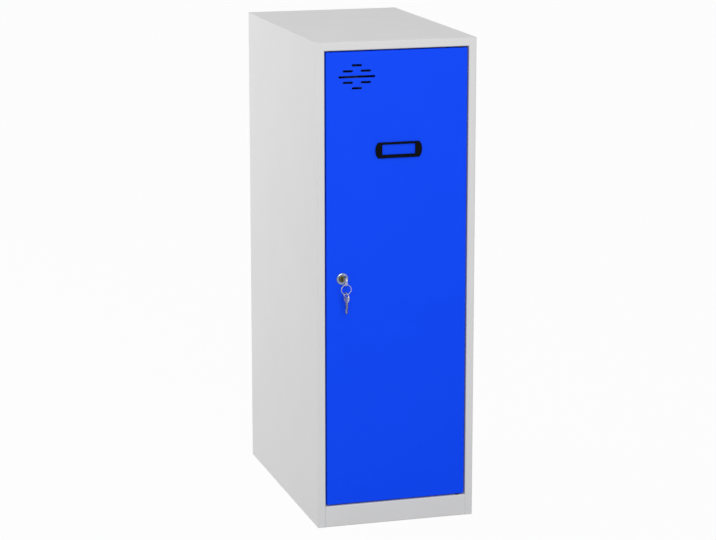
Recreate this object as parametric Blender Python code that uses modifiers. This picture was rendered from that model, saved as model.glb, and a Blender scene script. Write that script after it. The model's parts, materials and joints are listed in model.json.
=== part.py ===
"""Metal locker: a folded sheet steel body with one lockable door on concealed pivots.

Metres, +Z up. The door faces -Y and turns on pivots at its +X edge. The origin is at floor
level, in the middle of the footprint of the body and the key that stands out of the lock.
"""

from math import asin, cos, pi, radians, sin

import bmesh
import bpy
from mathutils import Matrix, Vector

# Body of folded sheet
WIDTH = 0.300
DEPTH = 0.500
HEIGHT = 0.900
SHEET = 0.0008
BEND = 0.002
FIT = 0.0003
BACK_FLANGE = 0.014
FOOT_FLANGE = 0.020

# Frame round the door
STILE = 0.0145
TOP_RAIL = 0.0155
PLINTH = 0.040
FRAME_DEPTH = 0.0245
STILE_LIP = 0.012
RAIL_LIP = 0.010

# Floor, shelf and coat rail
FLOOR_RISE = 0.010
PAN_FLANGE = 0.016
SHELF_DROP = 0.200
SHELF_SETBACK = 0.050
ANGLE_LEG = 0.015
ANGLE_WALL = 0.0012
RAIL_RADIUS = 0.008
RAIL_WALL = 0.0012
RAIL_DROP = 0.035
SOCKET_RADIUS = 0.015
SOCKET_PLATE = 0.0015
SOCKET_CUP = 0.010
SOCKET_WALL = 0.002
HOOK_WIRE = 0.002
HOOK_STEM = 0.030
HOOK_BOWL = 0.013
HOOK_SPREAD = 0.060
HOOK_START = radians(-40)
HOOK_END = radians(-200)

# Door pan
DOOR_GAP = 0.0025
DOOR_DEPTH = 0.018
DOOR_LIP = 0.012
STIFFENER_WIDTH = 0.040
STIFFENER_FOOT = 0.010
STIFFENER_RISE = 0.014

# Vent slots, placed from the body's left edge and from its top
VENT_X = 0.0744
VENT_DROP = 0.063
VENT_HEIGHT = 0.004
VENT_ROUND = 0.0018
VENT_LONG = 0.0685
VENT_SHORT = 0.019
VENT_PITCH_X = 0.0335
VENT_PITCH_Z = 0.0103

# Label frame, placed in the same way
LABEL_X = 0.1525
LABEL_DROP = 0.198
LABEL_WIDTH = 0.0875
LABEL_HEIGHT = 0.0288
LABEL_DEPTH = 0.004
LABEL_BOW = 0.0045
LABEL_EDGE = 0.001
LABEL_END = 0.0125
LABEL_TOP_BAR = 0.004
LABEL_BOTTOM_BAR = 0.0062
LABEL_TAB = (0.006, 0.0024)
LABEL_TAB_GRIP = 0.0015

# Door pivots
HINGE_INSET = 0.012
HINGE_BEHIND = 0.005
PIN_RADIUS = 0.002
PIN_HEAD_RADIUS = 0.0032
PIN_HEAD = 0.004
PIN_REACH = 0.0012
PIN_TAIL = 0.004
PIN_CHAMFER = 0.0005
BUSH_RUNNING = 0.0001
BUSH_WALL = 0.0008
BUSH_FLANGE_RADIUS = 0.004
BRACKET_WALL = 0.0015
BRACKET_REACH = 0.010
BRACKET_LEG = 0.025
BRACKET_WIDTH = 0.012

# Rubber buffers on the left lip
BUFFER_RADIUS = 0.0045
BUFFER_STEM = 0.0018
BUFFER_BARB = 0.0028
BUFFER_TAIL = 0.0025
BUFFER_ROUND = 0.0014
BUFFER_FROM_ENDS = 0.120

# Lock, placed from the body's left edge and from the floor
LOCK_X = 0.0466
LOCK_Z = 0.4695
LOCK_RIM = 0.011
LOCK_RIM_FACE = 0.0084
LOCK_RIM_EDGE = 0.0012
LOCK_PROUD = 0.003
LOCK_BODY = 0.009
CAM_CLEARANCE = 0.0007
PLUG_RADIUS = 0.0052
PLUG_HEAD_RADIUS = 0.0059
PLUG_HEAD = 0.0014
PLUG_PROUD = 0.002
PLUG_TAIL = 0.007
RUNNING = 0.0002
CAM_WALL = 0.002
CAM_REACH = 0.027
CAM_HUB = 0.008
CAM_TIP = 0.006
SCREW_RADIUS = 0.0014
SCREW_GRIP = 0.005
SCREW_HEAD_RADIUS = 0.004
SCREW_HEAD = 0.0022
SCREW_FACE = 0.0024
SCREW_EDGE = 0.0009
NUT_RADIUS = 0.0125
NUT_WALL = 0.004
WASHER_RADIUS = 0.012
WASHER_WALL = 0.001

# Keys and their ring
KEY_WALL = 0.002
KEY_BLADE = 0.011
KEY_BLADE_WIDTH = 0.007
KEY_TIP = 0.0025
KEY_BITE = 0.0015
KEY_BITES = 2
KEY_NECK = 0.010
KEY_NECK_WIDTH = 0.009
KEY_BOW = 0.020
KEY_HOLE = 0.0022
KEY_SLOT = 0.0088
KEY_HOLE_FROM_END = 0.0055
RING_RADIUS = 0.0091
RING_WIRE = 0.0008
SPARE_TURN = radians(14)

# Smoothness of bends and rounds
BEND_STEPS = 4
ROUND_STEPS = 24
DOME_STEPS = 3
WIRE_STEPS = 12

# Places worked out from the sizes above
HOLE_ALONG = KEY_NECK + KEY_BOW - KEY_HOLE_FROM_END
SPARE_HALF = KEY_BOW / 2 * cos(SPARE_TURN) + KEY_WALL / 2 * sin(SPARE_TURN)
KEY_REACH = PLUG_PROUD + FIT + max(KEY_NECK + KEY_BOW, HOLE_ALONG + SPARE_HALF)
FRONT = (KEY_REACH - DEPTH) / 2
BACK = FRONT + DEPTH
LEFT = -WIDTH / 2
INNER_X = WIDTH / 2 - SHEET - FIT
OPENING_X = WIDTH / 2 - STILE
LIP_Y = FRONT + FRAME_DEPTH
RAIL_LIP_Y = LIP_Y - SHEET - FIT
BACK_PANEL_Y = BACK - SHEET - FIT
INNER_BACK = BACK_PANEL_Y - SHEET - FIT
UNDER_TOP = HEIGHT - SHEET - FIT
RAIL_Z = HEIGHT - TOP_RAIL
DOOR_X = OPENING_X - DOOR_GAP
DOOR_BOTTOM = PLINTH + DOOR_GAP
DOOR_TOP = RAIL_Z - DOOR_GAP
BEHIND_DOOR_SHEET = FRONT + SHEET + FIT
FLOOR_Z = PLINTH + FLOOR_RISE
PAN_FRONT = LIP_Y + SHEET + FIT
SHELF_Z = HEIGHT - SHELF_DROP
SHELF_FRONT = FRONT + SHELF_SETBACK
VENT_Z = HEIGHT - VENT_DROP
LABEL_Z = HEIGHT - LABEL_DROP
HINGE = Vector((DOOR_X - HINGE_INSET, FRONT + HINGE_BEHIND, 0))
LOCK = Vector((LEFT + LOCK_X, FRONT, LOCK_Z))
LOCK_LENGTH = FRAME_DEPTH + SHEET + CAM_CLEARANCE
CAM_FRONT = LOCK_LENGTH + FIT
CAM_BACK = CAM_FRONT + CAM_WALL
HANG = KEY_HOLE - RING_WIRE - FIT
RING = LOCK + Vector((0, -PLUG_PROUD - FIT - HOLE_ALONG, -KEY_SLOT / 2 - HANG))
SPARE = RING - Vector((0, 0, 2 * RING_RADIUS))
COAT_RAIL = Vector((0, (SHELF_FRONT + INNER_BACK) / 2, SHELF_Z - PAN_FLANGE - RAIL_DROP))
FACING_FRONT = (pi / 2, 0, 0)
FACING_BACK = (-pi / 2, 0, 0)
UPSIDE_DOWN = (pi, 0, 0)


def new_collection(name):
    made = bpy.data.collections.new(name)
    bpy.context.scene.collection.children.link(made)
    return made


def new_material(name, colour, roughness, metallic=0.0):
    made = bpy.data.materials.new(name)
    made.use_nodes = True
    shader = made.node_tree.nodes["Principled BSDF"]
    shader.inputs["Base Color"].default_value = (*colour, 1.0)
    shader.inputs["Roughness"].default_value = roughness
    shader.inputs["Metallic"].default_value = metallic
    return made


for old in list(bpy.data.objects):
    bpy.data.objects.remove(old)
PARTS = new_collection("metal_locker")
CUTTERS = new_collection("cutters")
GREY_PAINT = new_material("grey paint", (0.68, 0.68, 0.68), 0.45)
BLUE_PAINT = new_material("blue paint", (0.008, 0.075, 0.92), 0.40)
CHROME = new_material("chrome", (0.80, 0.81, 0.83), 0.12, 1.0)
BRASS = new_material("brass", (0.62, 0.45, 0.16), 0.30, 1.0)
NICKEL = new_material("nickel", (0.70, 0.69, 0.66), 0.22, 1.0)
ZINC = new_material("zinc", (0.60, 0.62, 0.64), 0.35, 1.0)
BLACK_PLASTIC = new_material("black plastic", (0.012, 0.012, 0.014), 0.40)
NYLON = new_material("nylon", (0.06, 0.06, 0.06), 0.50)
RUBBER = new_material("rubber", (0.02, 0.02, 0.02), 0.75)


def world_place(obj):
    """Where an unturned empty stands, counted through its parents."""
    return obj.location + world_place(obj.parent) if obj else Vector((0, 0, 0))


def new_empty(name, place, parent=None):
    """An empty on a joint's axis, which carries the pieces that move on it."""
    made = bpy.data.objects.new(name, None)
    PARTS.objects.link(made)
    made.parent = parent
    made.location = Vector(place) - world_place(parent)
    return made


def new_part(name, data, finish, origin=(0, 0, 0), parent=None, rotation=(0, 0, 0)):
    """A part from a mesh or a curve that is drawn about its own origin."""
    data.materials.append(finish)
    made = bpy.data.objects.new(name, data)
    PARTS.objects.link(made)
    made.parent = parent
    made.location = Vector(origin) - world_place(parent)
    made.rotation_euler = rotation
    return made


def mesh_of(name, bm, origin=(0, 0, 0)):
    """The mesh of a bmesh drawn in the object's frame, moved so that the origin given is its own."""
    bmesh.ops.translate(bm, verts=bm.verts, vec=-Vector(origin))
    mesh = bpy.data.meshes.new(name)
    bm.to_mesh(mesh)
    bm.free()
    return mesh


def new_cutter(name, bm, parent=None):
    """A helper solid that Booleans use: never rendered, drawn as wire."""
    origin = world_place(parent)
    made = bpy.data.objects.new(name, mesh_of(name, bm, origin))
    CUTTERS.objects.link(made)
    made.parent = parent
    made.hide_render = True
    made.display_type = "WIRE"
    return made


def combine(obj, helper, operation="DIFFERENCE"):
    modifier = obj.modifiers.new(helper.name, "BOOLEAN")
    modifier.operation = operation
    modifier.object = helper


def solidify(obj, wall):
    """Thickens an open sheet against its normals, so that the drawn face stays the outer one."""
    modifier = obj.modifiers.new("sheet", "SOLIDIFY")
    modifier.thickness = wall
    modifier.offset = -1
    modifier.use_even_offset = True


def bevel(obj, width, steps=BEND_STEPS):
    modifier = obj.modifiers.new("round", "BEVEL")
    modifier.width = width
    modifier.segments = steps
    modifier.limit_method = "ANGLE"


def smooth(mesh):
    mesh.shade_smooth()
    mesh.set_sharp_from_angle(angle=radians(30))


def add_box(bm, low, high):
    """Adds a box between two corners and gives back its vertices."""
    low, high = Vector(low), Vector(high)
    size = Matrix.Diagonal((*(high - low), 1))
    matrix = Matrix.Translation((low + high) / 2) @ size
    return bmesh.ops.create_cube(bm, size=1, matrix=matrix)["verts"]


def add_pair(bm, low, high):
    """Adds a box on the right and its mirror image on the left."""
    add_box(bm, low, high)
    add_box(bm, (-high[0], low[1], low[2]), (-low[0], high[1], high[2]))


def add_rod(bm, radius, start, end, steps=ROUND_STEPS):
    """Adds a capped cylinder between two points."""
    start, end = Vector(start), Vector(end)
    along = end - start
    turn = along.to_track_quat("Z", "Y").to_matrix().to_4x4()
    matrix = Matrix.Translation((start + end) / 2) @ turn
    bmesh.ops.create_cone(
        bm, cap_ends=True, segments=steps, radius1=radius, radius2=radius, depth=along.length, matrix=matrix
    )


def rounded(corners, radius):
    """An open line through right-angled corners, each turned into an arc."""
    corners = [Vector(corner) for corner in corners]
    points = [corners[0]]
    for before, corner, after in zip(corners, corners[1:], corners[2:]):
        into = (before - corner).normalized()
        out = (after - corner).normalized()
        centre = corner + (into + out) * radius
        for step in range(BEND_STEPS + 1):
            turn = pi / 2 * step / BEND_STEPS
            points.append(centre - (out * cos(turn) + into * sin(turn)) * radius)
    points.append(corners[-1])
    return points


def folded_sheet(name, corners, run, low, high, finish, wall=SHEET, parent=None):
    """A sheet bent along corners drawn across the run axis, with its thickness on their left.

    The corners are (x, y) along Z, (y, z) along X and (z, x) along Y.
    """
    last = "XYZ".index(run)
    along = Vector((0, 0, 0))
    along[last] = 1.0
    bm = bmesh.new()
    line = []
    for point in rounded(corners, BEND):
        place = along * low
        place[(last + 1) % 3], place[(last + 2) % 3] = point
        line.append(bm.verts.new(place))
    edges = [bm.edges.new(pair) for pair in zip(line, line[1:])]
    swept = bmesh.ops.extrude_edge_only(bm, edges=edges)["geom"]
    moved = [item for item in swept if isinstance(item, bmesh.types.BMVert)]
    bmesh.ops.translate(bm, verts=moved, vec=along * (high - low))
    bm.normal_update()
    bm.faces.ensure_lookup_table()
    left = along.cross(line[1].co - line[0].co)
    first = next(face for face in bm.faces if line[0] in face.verts)
    if first.normal.dot(left) > 0:
        bmesh.ops.reverse_faces(bm, faces=bm.faces)
    origin = world_place(parent)
    made = new_part(name, mesh_of(name, bm, origin), finish, origin, parent)
    smooth(made.data)
    solidify(made, wall)
    return made


def open_pan(name, low, high, open_side, finish, lip=0.0, parent=None):
    """A box of sheet that is open on one side, where it may have lips turned inwards."""
    bm = bmesh.new()
    add_box(bm, low, high)
    bm.normal_update()
    lid = max(bm.faces, key=lambda face: face.normal.dot(Vector(open_side)))
    if lip:
        bmesh.ops.inset_region(bm, faces=[lid], thickness=lip, use_even_offset=True)
    bmesh.ops.delete(bm, geom=[lid], context="FACES")
    origin = world_place(parent)
    made = new_part(name, mesh_of(name, bm, origin), finish, origin, parent)
    bevel(made, BEND)
    solidify(made, SHEET)
    return made


def turned(name, profile, finish, origin, parent=None, rotation=(0, 0, 0)):
    """A turned part: (radius, height) points down its outer side, closed to a ring off the axis."""
    bm = bmesh.new()
    points = [bm.verts.new((radius, 0, height)) for radius, height in profile]
    for pair in zip(points, points[1:]):
        bm.edges.new(pair)
    if profile[0][0] > 0:
        bm.edges.new((points[-1], points[0]))
    made = new_part(name, mesh_of(name, bm), finish, origin, parent, rotation)
    screw = made.modifiers.new("turn", "SCREW")
    screw.steps = ROUND_STEPS
    screw.render_steps = ROUND_STEPS
    screw.use_merge_vertices = True
    screw.merge_threshold = 0.00001
    screw.use_smooth_shade = False
    return made


def flat_plate(name, outlines, wall, finish, origin, parent, axes):
    """A plate cut to closed outlines, the first outside and the rest holes, turned to the axes given."""
    curve = bpy.data.curves.new(name, "CURVE")
    curve.dimensions = "2D"
    curve.fill_mode = "BOTH"
    curve.extrude = wall / 2
    for outline in outlines:
        spline = curve.splines.new("POLY")
        spline.points.add(len(outline) - 1)
        for point, (along, across) in zip(spline.points, outline):
            point.co = (along, across, 0, 1)
        spline.use_cyclic_u = True
    along, across = (Vector(axis) for axis in axes)
    turn = Matrix((along, across, along.cross(across))).transposed()
    return new_part(name, curve, finish, origin, parent, turn.to_euler())


def arc(centre, radius, start, end, steps=ROUND_STEPS):
    """Points on a circle from one angle to another, both included."""
    points = []
    for step in range(steps + 1):
        angle = start + (end - start) * step / steps
        points.append((centre[0] + radius * cos(angle), centre[1] + radius * sin(angle)))
    return points


def dome(face, top, edge, low):
    """A rounded shoulder of a turned part, from (face, top) out and down to (edge, low)."""
    points = []
    for step in range(DOME_STEPS + 1):
        turn = pi / 2 * step / DOME_STEPS
        points.append((face + (edge - face) * sin(turn), low + (top - low) * cos(turn)))
    return points


def side_panel(name, side):
    """Side sheet, back flange, stile, return and stop lip in one fold."""
    corners = [
        (WIDTH / 2 - BACK_FLANGE, BACK),
        (WIDTH / 2, BACK),
        (WIDTH / 2, FRONT),
        (OPENING_X, FRONT),
        (OPENING_X, LIP_Y),
        (OPENING_X - STILE_LIP, LIP_Y),
    ]
    if side < 0:
        corners = [(-x, y) for x, y in corners]
    else:
        corners.reverse()
    made = folded_sheet(name, corners, "Z", 0, HEIGHT, GREY_PAINT)
    combine(made, STILE_TOP_CUT)
    return made


def stile_top_cut():
    """Lets the top sheet pass over each stile's return and lip."""
    bm = bmesh.new()
    low = (OPENING_X - 2 * STILE_LIP, FRONT + SHEET + FIT, UNDER_TOP)
    add_pair(bm, low, (WIDTH / 2 - BEND, PAN_FRONT + BEND, HEIGHT + BEND))
    return new_cutter("stile_top_cut", bm)


def rail_end_cuts():
    """Keep the rail and the plinth clear of the stiles, and their lips clear of the stiles' inner bends."""
    past_front = FRONT - BEND
    ends = bmesh.new()
    add_pair(ends, (OPENING_X - FIT, past_front, -BEND), (WIDTH, PAN_FRONT, UNDER_TOP))
    lips = bmesh.new()
    low = (OPENING_X - BEND - FIT, LIP_Y - 2 * BEND, FOOT_FLANGE)
    add_pair(lips, low, (WIDTH, PAN_FRONT, UNDER_TOP))
    front = bmesh.new()
    add_pair(front, (OPENING_X - FIT, past_front, RAIL_Z), (WIDTH, FRONT + SHEET + FIT, HEIGHT + BEND))
    corners = bmesh.new()
    add_pair(corners, (WIDTH / 2 - BEND, past_front, RAIL_Z), (WIDTH, FRONT + BEND, HEIGHT + BEND))
    return {
        "ends": new_cutter("rail_ends_cut", ends),
        "lips": new_cutter("rail_lips_cut", lips),
        "front": new_cutter("top_front_cut", front),
        "corners": new_cutter("top_corners_cut", corners),
    }


def bush_cut(name, z):
    bm = bmesh.new()
    radius = PIN_RADIUS + BUSH_RUNNING + BUSH_WALL + FIT
    add_rod(bm, radius, HINGE + Vector((0, 0, z - 2 * BEND)), HINGE + Vector((0, 0, z + 2 * BEND)))
    return new_cutter(name, bm)


def top_panel():
    """Top sheet with its front rail, return and stop lip, welded in along its edges."""
    corners = [
        (INNER_BACK, HEIGHT),
        (FRONT, HEIGHT),
        (FRONT, RAIL_Z),
        (RAIL_LIP_Y, RAIL_Z),
        (RAIL_LIP_Y, RAIL_Z - RAIL_LIP),
    ]
    made = folded_sheet("top_panel", corners, "X", -INNER_X, INNER_X, GREY_PAINT)
    for cutter in RAIL_CUTS.values():
        combine(made, cutter)
    combine(made, bush_cut("upper_bush_cut", RAIL_Z))


def plinth():
    """Strip under the door: stop lip, return, front face and the flange it stands on."""
    corners = [
        (RAIL_LIP_Y, PLINTH + RAIL_LIP),
        (RAIL_LIP_Y, PLINTH),
        (FRONT, PLINTH),
        (FRONT, 0),
        (FRONT + FOOT_FLANGE, 0),
    ]
    made = folded_sheet("plinth", corners, "X", FIT - OPENING_X, OPENING_X - FIT, GREY_PAINT)
    combine(made, RAIL_CUTS["lips"])
    combine(made, bush_cut("lower_bush_cut", PLINTH))


def back_panel():
    """Back sheet inside the side panels' flanges, with a flange to stand on."""
    corners = [(BACK_PANEL_Y - FOOT_FLANGE, 0), (BACK_PANEL_Y, 0), (BACK_PANEL_Y, HEIGHT)]
    folded_sheet("back_panel", corners, "X", BEND - WIDTH / 2, WIDTH / 2 - BEND, GREY_PAINT)


def floor_and_shelf():
    """Two pans that hang their flanges downwards, and the angles that carry the shelf."""
    low = (-INNER_X, PAN_FRONT, FLOOR_Z - PAN_FLANGE)
    open_pan("floor_panel", low, (INNER_X, INNER_BACK, FLOOR_Z), (0, 0, -1), GREY_PAINT)
    low = (-INNER_X, SHELF_FRONT, SHELF_Z - PAN_FLANGE)
    open_pan("shelf", low, (INNER_X, INNER_BACK, SHELF_Z), (0, 0, -1), GREY_PAINT)
    seat = SHELF_Z - PAN_FLANGE - FIT
    for name, side in (("left", -1), ("right", 1)):
        corners = [(seat, INNER_X - ANGLE_LEG), (seat, INNER_X), (seat - ANGLE_LEG, INNER_X)]
        if side < 0:
            corners = [(z, -x) for z, x in reversed(corners)]
        folded_sheet(
            "shelf_support_" + name, corners, "Y", SHELF_FRONT, INNER_BACK, GREY_PAINT, ANGLE_WALL
        )


def coat_rail():
    """Tube across the body in two welded cups, with two hooks that slide along it."""
    half = INNER_X - SOCKET_PLATE - FIT
    inside = RAIL_RADIUS - RAIL_WALL
    tube = [(RAIL_RADIUS, half), (RAIL_RADIUS, -half), (inside, -half), (inside, half)]
    turned("coat_rail", tube, ZINC, COAT_RAIL, rotation=(0, pi / 2, 0))
    bore = RAIL_RADIUS + FIT
    cup = [
        (0, SOCKET_PLATE),
        (bore, SOCKET_PLATE),
        (bore, SOCKET_PLATE + SOCKET_CUP),
        (bore + SOCKET_WALL, SOCKET_PLATE + SOCKET_CUP),
        (bore + SOCKET_WALL, SOCKET_PLATE),
        (SOCKET_RADIUS, SOCKET_PLATE),
        (SOCKET_RADIUS, 0),
        (0, 0),
    ]
    for name, side in (("left", -1), ("right", 1)):
        place = COAT_RAIL + Vector((side * INNER_X, 0, 0))
        turned("rail_socket_" + name, cup, ZINC, place, rotation=(0, -side * pi / 2, 0))
        slider = new_empty("hook_slide_" + name, COAT_RAIL + Vector((side * HOOK_SPREAD, 0, 0)))
        coat_hook("coat_hook_" + name, slider)


def coat_hook(name, slider):
    """Wire over the rail, down a stem and up into an open bowl, drawn in (y, z) about the rail."""
    loop = RAIL_RADIUS + HOOK_WIRE + FIT
    route = arc((0, 0), loop, HOOK_START, pi, WIRE_STEPS)
    route += arc((-loop - HOOK_BOWL, -HOOK_STEM), HOOK_BOWL, 0, HOOK_END, WIRE_STEPS)
    curve = bpy.data.curves.new(name, "CURVE")
    curve.dimensions = "3D"
    curve.bevel_depth = HOOK_WIRE
    curve.bevel_resolution = 2
    curve.use_fill_caps = True
    spline = curve.splines.new("POLY")
    spline.points.add(len(route) - 1)
    for point, (y, z) in zip(spline.points, route):
        point.co = (0, y, z, 1)
    new_part(name, curve, ZINC, world_place(slider), slider)


def door_cuts():
    """Vent slots, lock hole, label slots and pin holes, as one group of separate solids."""
    bm = bmesh.new()
    rows = [(0, [0], VENT_LONG)]
    for side in (-1, 1):
        rows.append((side, [-0.5, 0.5], VENT_SHORT))
        rows.append((2 * side, [0], VENT_SHORT))
    for row, columns, length in rows:
        for column in columns:
            middle = Vector((LEFT + VENT_X + column * VENT_PITCH_X, FRONT, VENT_Z + row * VENT_PITCH_Z))
            half = Vector((length / 2, 2 * SHEET, VENT_HEIGHT / 2))
            slot = add_box(bm, middle - half, middle + half)
            ends = [edge for edge in bm.edges if all(end in slot for end in edge.verts)]
            ends = [edge for edge in ends if abs((edge.verts[0].co - edge.verts[1].co).y) > SHEET]
            bmesh.ops.bevel(
                bm, geom=ends, offset=VENT_ROUND, segments=BEND_STEPS, profile=0.5, affect="EDGES"
            )
    through = Vector((0, 2 * SHEET, 0))
    add_rod(bm, LOCK_BODY + FIT, LOCK - through, LOCK + through)
    for tab in label_tabs():
        half = Vector((LABEL_TAB[0] / 2 + FIT, 2 * SHEET, LABEL_TAB[1] / 2 + FIT))
        add_box(bm, tab - half, tab + half)
    for z in (DOOR_BOTTOM, DOOR_TOP):
        rise = Vector((0, 0, 2 * SHEET))
        middle = HINGE + Vector((0, 0, z))
        add_rod(bm, PIN_RADIUS + FIT, middle - rise, middle + rise)
    return new_cutter("door_cuts", bm, DOOR_AXIS)


def door():
    """Pan with lips turned in round its back, stiffened by a hat channel."""
    low = (-DOOR_X, FRONT, DOOR_BOTTOM)
    high = (DOOR_X, FRONT + DOOR_DEPTH, DOOR_TOP)
    pan = open_pan("door_panel", low, high, (0, 1, 0), BLUE_PAINT, DOOR_LIP, DOOR_AXIS)
    combine(pan, door_cuts())
    web = STIFFENER_WIDTH / 2
    foot = web + STIFFENER_FOOT
    crown = BEHIND_DOOR_SHEET + STIFFENER_RISE
    corners = [
        (-foot, BEHIND_DOOR_SHEET),
        (-web, BEHIND_DOOR_SHEET),
        (-web, crown),
        (web, crown),
        (web, BEHIND_DOOR_SHEET),
        (foot, BEHIND_DOOR_SHEET),
    ]
    inside = DOOR_LIP + BEND
    low, high = DOOR_BOTTOM + inside, DOOR_TOP - inside
    folded_sheet("door_stiffener", corners, "Z", low, high, BLUE_PAINT, parent=DOOR_AXIS)


def label_tabs():
    """Where the label frame's two tabs pass through the door sheet."""
    middle = Vector((LEFT + LABEL_X, FRONT, LABEL_Z))
    reach = Vector(((LABEL_WIDTH - LABEL_END) / 2, 0, 0))
    return [middle - reach, middle + reach]


def label_frame():
    """Plastic card frame with wide bowed ends, held by two tabs."""
    x, z = LEFT + LABEL_X, LABEL_Z
    back = FRONT - FIT
    left, right = x - LABEL_WIDTH / 2, x + LABEL_WIDTH / 2
    bottom, top = z - LABEL_HEIGHT / 2, z + LABEL_HEIGHT / 2
    radius = (LABEL_HEIGHT * LABEL_HEIGHT / 4 + LABEL_BOW * LABEL_BOW) / (2 * LABEL_BOW)
    swing = asin(LABEL_HEIGHT / 2 / radius)
    ends = arc((right - radius, z), radius, -swing, swing, WIRE_STEPS)
    ends += arc((left + radius, z), radius, pi - swing, pi + swing, WIRE_STEPS)
    bm = bmesh.new()
    face = bm.faces.new([bm.verts.new((along, back, up)) for along, up in ends])
    pulled = bmesh.ops.extrude_face_region(bm, geom=[face])["geom"]
    moved = [item for item in pulled if isinstance(item, bmesh.types.BMVert)]
    bmesh.ops.translate(bm, verts=moved, vec=(0, -LABEL_DEPTH, 0))
    bmesh.ops.recalc_face_normals(bm, faces=bm.faces)
    origin = world_place(DOOR_AXIS)
    made = new_part("label_frame", mesh_of("label_frame", bm, origin), BLACK_PLASTIC, origin, DOOR_AXIS)
    window = bmesh.new()
    low = (left + LABEL_END, back - 2 * LABEL_DEPTH, bottom + LABEL_BOTTOM_BAR)
    add_box(window, low, (right - LABEL_END, back + LABEL_DEPTH, top - LABEL_TOP_BAR))
    combine(made, new_cutter("label_window", window, DOOR_AXIS))
    bevel(made, LABEL_EDGE, 2)
    tabs = bmesh.new()
    for tab in label_tabs():
        half = Vector((LABEL_TAB[0] / 2, 0, LABEL_TAB[1] / 2))
        ahead = Vector((0, FIT + LABEL_DEPTH / 2, 0))
        behind = Vector((0, SHEET + LABEL_TAB_GRIP, 0))
        add_box(tabs, tab - half - ahead, tab + half + behind)
    combine(made, new_cutter("label_tabs", tabs, DOOR_AXIS), "UNION")


def hinges():
    """Flanged bushes in the frame, and headed pins that brackets hold in the door's corners."""
    bore = PIN_RADIUS + BUSH_RUNNING
    shell = bore + BUSH_WALL
    flange = DOOR_GAP - 2 * FIT
    bush = [
        (bore, SHEET + FIT),
        (shell, SHEET + FIT),
        (shell, -FIT),
        (BUSH_FLANGE_RADIUS, -FIT),
        (BUSH_FLANGE_RADIUS, -FIT - flange),
        (bore, -FIT - flange),
    ]
    tip = DOOR_GAP + SHEET + PIN_REACH
    head = -SHEET - FIT
    pin = [
        (0, tip),
        (PIN_RADIUS - PIN_CHAMFER, tip),
        (PIN_RADIUS, tip - PIN_CHAMFER),
        (PIN_RADIUS, head),
        (PIN_HEAD_RADIUS, head),
        (PIN_HEAD_RADIUS, head - PIN_HEAD),
        (PIN_RADIUS, head - PIN_HEAD),
        (PIN_RADIUS, head - PIN_HEAD - PIN_TAIL),
        (0, head - PIN_HEAD - PIN_TAIL),
    ]
    places = (("upper", RAIL_Z, DOOR_TOP, 1, (0, 0, 0)), ("lower", PLINTH, DOOR_BOTTOM, -1, UPSIDE_DOWN))
    for name, frame_z, door_z, up, rotation in places:
        turned(name + "_hinge_bush", bush, NYLON, HINGE + Vector((0, 0, frame_z)), rotation=rotation)
        place = HINGE + Vector((0, 0, door_z))
        turned(name + "_hinge_pin", pin, ZINC, place, DOOR_AXIS, rotation)
        hinge_bracket(name + "_hinge_bracket", door_z, up)


def hinge_bracket(name, door_z, up):
    """Angle in a corner of the door that holds the pin's head against the door's return."""
    seat = door_z - up * (SHEET + PIN_HEAD + 2 * FIT)
    side = DOOR_X - SHEET - FIT
    corners = [(seat, HINGE.x - BRACKET_REACH), (seat, side), (seat - up * BRACKET_LEG, side)]
    if up < 0:
        corners.reverse()
    low = FRONT + BEND
    high = low + BRACKET_WIDTH
    made = folded_sheet(name, corners, "Y", low, high, ZINC, BRACKET_WALL, DOOR_AXIS)
    bm = bmesh.new()
    middle = HINGE + Vector((0, 0, seat))
    rise = Vector((0, 0, 2 * BRACKET_WALL))
    add_rod(bm, PIN_RADIUS + FIT, middle - rise, middle + rise)
    combine(made, new_cutter(name + "_hole", bm, DOOR_AXIS))


def buffers():
    """Rubber stops pushed through holes in the left stile's lip."""
    head = FRAME_DEPTH - DOOR_DEPTH - FIT
    under = -SHEET - FIT
    profile = [
        (0, head),
        *dome(BUFFER_RADIUS - BUFFER_ROUND, head, BUFFER_RADIUS, head - BUFFER_ROUND),
        (BUFFER_RADIUS, FIT),
        (BUFFER_STEM, FIT),
        (BUFFER_STEM, under),
        (BUFFER_BARB, under),
        (BUFFER_STEM, under - BUFFER_TAIL),
        (0, under - BUFFER_TAIL),
    ]
    x = -(OPENING_X - STILE_LIP + BUFFER_RADIUS + SHEET)
    holes = bmesh.new()
    through = Vector((0, 2 * SHEET, 0))
    for name, z in (("lower", DOOR_BOTTOM + BUFFER_FROM_ENDS), ("upper", DOOR_TOP - BUFFER_FROM_ENDS)):
        place = Vector((x, LIP_Y, z))
        turned("door_buffer_" + name, profile, RUBBER, place, rotation=FACING_FRONT)
        add_rod(holes, BUFFER_STEM + FIT, place - through, place + through)
    return new_cutter("buffer_holes", holes)


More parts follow.
